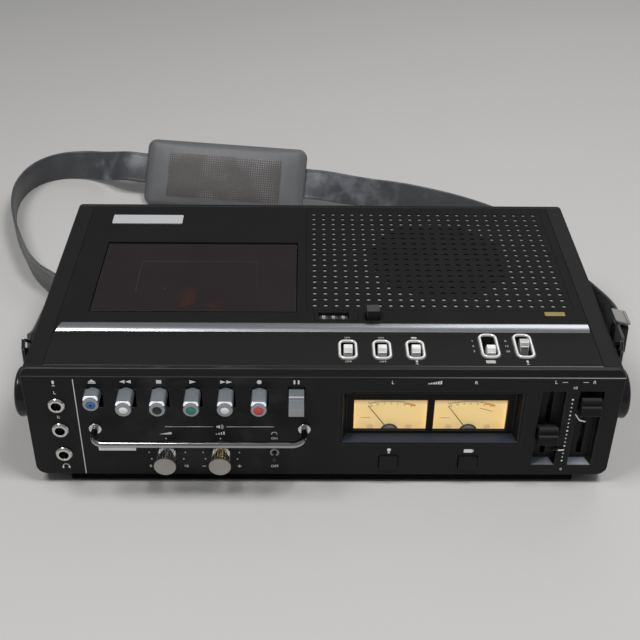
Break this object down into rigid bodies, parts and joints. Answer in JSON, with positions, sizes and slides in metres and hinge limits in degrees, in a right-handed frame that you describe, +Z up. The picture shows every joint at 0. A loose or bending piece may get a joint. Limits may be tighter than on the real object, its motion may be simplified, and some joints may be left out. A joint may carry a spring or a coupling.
{
  "type": "portable cassette deck",
  "caption": "Flat portable stereo cassette deck with lever keys, guard bar, level meters, slide controls, smoked cassette lid, loudspeaker grille and shoulder strap.",
  "frame": {"origin": "on the table, under the middle of the deck with its lugs and guard bar, strap left out", "axes": "+X to the right seen from the front, +Y to the back, +Z up"},
  "size_m": [0.4951, 0.4546, 0.1],
  "materials": {
    "black_paint": "fine satin black paint",
    "black_plastic": "moulded black plastic",
    "smoked_plastic": "dark smoked acrylic",
    "bright_chrome": "polished chrome plate",
    "trim_silver": "satin anodised bar",
    "key_grey": "semi-gloss metallic grey",
    "clear_acrylic": "clear ribbed acrylic with a metal end",
    "dial_amber": "printed amber dial in a dark housing",
    "needle_dark": "thin dark needle",
    "foot_rubber": "black rubber",
    "strap_vinyl": "black grained vinyl",
    "cone_paper": "loudspeaker on a pale baffle",
    "sheet_steel": "plated sheet steel",
    "turned_brass": "turned brass",
    "board_green": "circuit board",
    "wheel_white": "white number wheels",
    "reel_plastic": "pale plastic spindles",
    "cell_shell": "dry cell jackets"
  },
  "bodies": {
    "case": {"front_panel": "black_paint", "side_panels": "black_plastic", "rear_panel": "black_plastic", "bottom_cover": "black_plastic", "deck_panel": "black_paint", "trim_bar": "trim_silver", "speaker_grille": "black_paint", "speaker": "cone_paper", "rubber_feet": "foot_rubber", "battery_cells": "cell_shell", "cassette_well": "black_plastic", "mechanism_chassis": "sheet_steel", "drive_motor": "sheet_steel", "drive_belt": "foot_rubber", "key_guard": "bright_chrome", "phone_jacks": "bright_chrome", "potentiometers": "sheet_steel", "meter_bezel": "black_plastic", "meters": "dial_amber", "slide_switches": "bright_chrome", "counter_frame": "black_plastic", "circuit_board": "board_green", "rear_sockets": "black_plastic", "strap_lugs": "black_paint", "shoulder_strap": "strap_vinyl", "strap_pad": "strap_vinyl"},
    "battery_door": {"battery_door": "black_plastic"},
    "lid": {"cassette_lid": "smoked_plastic", "cassette_holder": "black_plastic"},
    "supply_spindle": {"supply_spindle": "reel_plastic"},
    "takeup_spindle": {"takeup_spindle": "reel_plastic"},
    "flywheel": {"flywheel": "turned_brass"},
    "motor_pulley": {"motor_pulley": "turned_brass"},
    "head_base": {"head_base": "sheet_steel"},
    "pinch_roller": {"pinch_roller": "foot_rubber"},
    "key_eject": {"key_eject": "key_grey"},
    "key_rewind": {"key_rewind": "key_grey"},
    "key_stop": {"key_stop": "key_grey"},
    "key_play": {"key_play": "key_grey"},
    "key_forward": {"key_forward": "key_grey"},
    "key_record": {"key_record": "key_grey"},
    "key_pause": {"key_pause": "key_grey"},
    "volume_knob": {"volume_knob": "clear_acrylic"},
    "tone_knob": {"tone_knob": "clear_acrylic"},
    "monitor_toggle": {"monitor_toggle": "bright_chrome"},
    "light_button": {"light_button": "black_plastic"},
    "battery_check_button": {"battery_check_button": "black_plastic"},
    "needle_left": {"needle_left": "needle_dark"},
    "needle_right": {"needle_right": "needle_dark"},
    "level_knob_left": {"level_knob_left": "black_plastic"},
    "level_knob_right": {"level_knob_right": "black_plastic"},
    "noise_switch": {"noise_switch": "bright_chrome"},
    "limiter_switch": {"limiter_switch": "bright_chrome"},
    "input_switch": {"input_switch": "bright_chrome"},
    "tape_switch": {"tape_switch": "bright_chrome"},
    "microphone_switch": {"microphone_switch": "bright_chrome"},
    "counter_reset": {"counter_reset": "black_plastic"},
    "counter_wheel_units": {"counter_wheel_units": "wheel_white"},
    "counter_wheel_tens": {"counter_wheel_tens": "wheel_white"},
    "counter_wheel_hundreds": {"counter_wheel_hundreds": "wheel_white"}
  },
  "joints": [
    {"name": "lid_hinge", "type": "hinge", "parent": "case", "child": "lid", "pos_m": [-0.0865, 0.05448, 0.09], "axis": [-1, 0, 0], "range_deg": [0, 75]},
    {"name": "battery_door_slide", "type": "slide", "parent": "case", "child": "battery_door", "axis": [0, 1, 0], "range_m": [0, 0.08]},
    {"name": "supply_spin", "type": "hinge", "parent": "case", "child": "supply_spindle", "pos_m": [-0.10775, 0.01787, 0.074], "axis": [0, 0, 1], "continuous": true},
    {"name": "takeup_spin", "type": "hinge", "parent": "case", "child": "takeup_spindle", "pos_m": [-0.06525, 0.01787, 0.074], "axis": [0, 0, 1], "continuous": true},
    {"name": "flywheel_spin", "type": "hinge", "parent": "case", "child": "flywheel", "pos_m": [-0.0645, -0.00912, 0.06], "axis": [0, 0, 1], "continuous": true},
    {"name": "motor_spin", "type": "hinge", "parent": "case", "child": "motor_pulley", "pos_m": [-0.1425, 0.02088, 0.04], "axis": [0, 0, 1], "continuous": true},
    {"name": "head_base_slide", "type": "slide", "parent": "case", "child": "head_base", "axis": [0, 1, 0], "range_m": [0, 0.0051]},
    {"name": "pinch_spin", "type": "hinge", "parent": "head_base", "child": "pinch_roller", "pos_m": [-0.0645, -0.02167, 0.08], "axis": [0, 0, 1], "continuous": true},
    {"name": "eject_press", "type": "hinge", "parent": "case", "child": "key_eject", "pos_m": [-0.1438, -0.04693, 0.0751], "axis": [1, 0, 0], "range_deg": [0, 4.3], "stiffness_Nm_per_rad": 0.6, "springref_deg": -2.86},
    {"name": "rewind_press", "type": "hinge", "parent": "case", "child": "key_rewind", "pos_m": [-0.1231, -0.04693, 0.0751], "axis": [1, 0, 0], "range_deg": [0, 4.3], "stiffness_Nm_per_rad": 0.6, "springref_deg": -2.86},
    {"name": "stop_press", "type": "hinge", "parent": "case", "child": "key_stop", "pos_m": [-0.1024, -0.04693, 0.0751], "axis": [1, 0, 0], "range_deg": [0, 4.3], "stiffness_Nm_per_rad": 0.6, "springref_deg": -2.86},
    {"name": "play_press", "type": "hinge", "parent": "case", "child": "key_play", "pos_m": [-0.0817, -0.04693, 0.0751], "axis": [1, 0, 0], "range_deg": [0, 4.3], "stiffness_Nm_per_rad": 0.6, "springref_deg": -2.86},
    {"name": "forward_press", "type": "hinge", "parent": "case", "child": "key_forward", "pos_m": [-0.061, -0.04693, 0.0751], "axis": [1, 0, 0], "range_deg": [0, 4.3], "stiffness_Nm_per_rad": 0.6, "springref_deg": -2.86},
    {"name": "record_press", "type": "hinge", "parent": "case", "child": "key_record", "pos_m": [-0.0403, -0.04693, 0.0751], "axis": [1, 0, 0], "range_deg": [0, 4.3], "stiffness_Nm_per_rad": 0.6, "springref_deg": -2.86},
    {"name": "pause_press", "type": "hinge", "parent": "case", "child": "key_pause", "pos_m": [-0.0172, -0.04693, 0.0751], "axis": [1, 0, 0], "range_deg": [0, 4.3], "stiffness_Nm_per_rad": 0.6, "springref_deg": -2.86},
    {"name": "volume_turn", "type": "hinge", "parent": "case", "child": "volume_knob", "pos_m": [-0.1011, -0.09692, 0.0269], "axis": [0, 1, 0], "range_deg": [-150, 150]},
    {"name": "tone_turn", "type": "hinge", "parent": "case", "child": "tone_knob", "pos_m": [-0.0661, -0.09692, 0.0269], "axis": [0, 1, 0], "range_deg": [-150, 150]},
    {"name": "monitor_flip", "type": "hinge", "parent": "case", "child": "monitor_toggle", "pos_m": [-0.0315, -0.09492, 0.0275], "axis": [-1, 0, 0], "range_deg": [0, 18]},
    {"name": "light_press", "type": "slide", "parent": "case", "child": "light_button", "axis": [0, 1, 0], "range_m": [0, 0.002], "stiffness_N_per_m": 120, "springref_m": -0.004},
    {"name": "battery_check_press", "type": "slide", "parent": "case", "child": "battery_check_button", "axis": [0, 1, 0], "range_m": [0, 0.002], "stiffness_N_per_m": 120, "springref_m": -0.004},
    {"name": "needle_left_swing", "type": "hinge", "parent": "case", "child": "needle_left", "pos_m": [0.04305, -0.08643, 0.037], "axis": [0, 1, 0], "range_deg": [0, 70], "stiffness_Nm_per_rad": 0.00004, "springref_deg": -14.32},
    {"name": "needle_right_swing", "type": "hinge", "parent": "case", "child": "needle_right", "pos_m": [0.09455, -0.08643, 0.037], "axis": [0, 1, 0], "range_deg": [0, 70], "stiffness_Nm_per_rad": 0.00004, "springref_deg": -14.32},
    {"name": "level_left_slide", "type": "slide", "parent": "case", "child": "level_knob_left", "axis": [0, 0, 1], "range_m": [-0.017, 0.027]},
    {"name": "level_right_slide", "type": "slide", "parent": "case", "child": "level_knob_right", "axis": [0, 0, 1], "range_m": [-0.041, 0.003]},
    {"name": "noise_switch_slide", "type": "slide", "parent": "case", "child": "noise_switch", "axis": [0, 1, 0], "range_m": [0, 0.006]},
    {"name": "limiter_switch_slide", "type": "slide", "parent": "case", "child": "limiter_switch", "axis": [0, 1, 0], "range_m": [0, 0.006]},
    {"name": "input_switch_slide", "type": "slide", "parent": "case", "child": "input_switch", "axis": [0, 1, 0], "range_m": [0, 0.006]},
    {"name": "tape_switch_slide", "type": "slide", "parent": "case", "child": "tape_switch", "axis": [0, 1, 0], "range_m": [0, 0.013]},
    {"name": "microphone_switch_slide", "type": "slide", "parent": "case", "child": "microphone_switch", "axis": [0, 1, 0], "range_m": [-0.0065, 0.0065]},
    {"name": "counter_reset_press", "type": "slide", "parent": "case", "child": "counter_reset", "axis": [0, 0, -1], "range_m": [0, 0.003], "stiffness_N_per_m": 120, "springref_m": -0.004},
    {"name": "counter_units_turn", "type": "hinge", "parent": "case", "child": "counter_wheel_units", "pos_m": [0.0132, -0.03583, 0.0841], "axis": [1, 0, 0], "continuous": true},
    {"name": "counter_tens_turn", "type": "hinge", "parent": "case", "child": "counter_wheel_tens", "pos_m": [0.00675, -0.03583, 0.0841], "axis": [1, 0, 0], "continuous": true},
    {"name": "counter_hundreds_turn", "type": "hinge", "parent": "case", "child": "counter_wheel_hundreds", "pos_m": [0.0003, -0.03583, 0.0841], "axis": [1, 0, 0], "continuous": true}
  ],
  "couplings": [
    {"joint": "motor_spin", "follows": "flywheel_spin", "ratio": 5.3333},
    {"joint": "head_base_slide", "follows": "play_press", "m_per_rad": 0.066623},
    {"joint": "counter_tens_turn", "follows": "counter_units_turn", "ratio": 0.1},
    {"joint": "counter_hundreds_turn", "follows": "counter_units_turn", "ratio": 0.01}
  ]
}
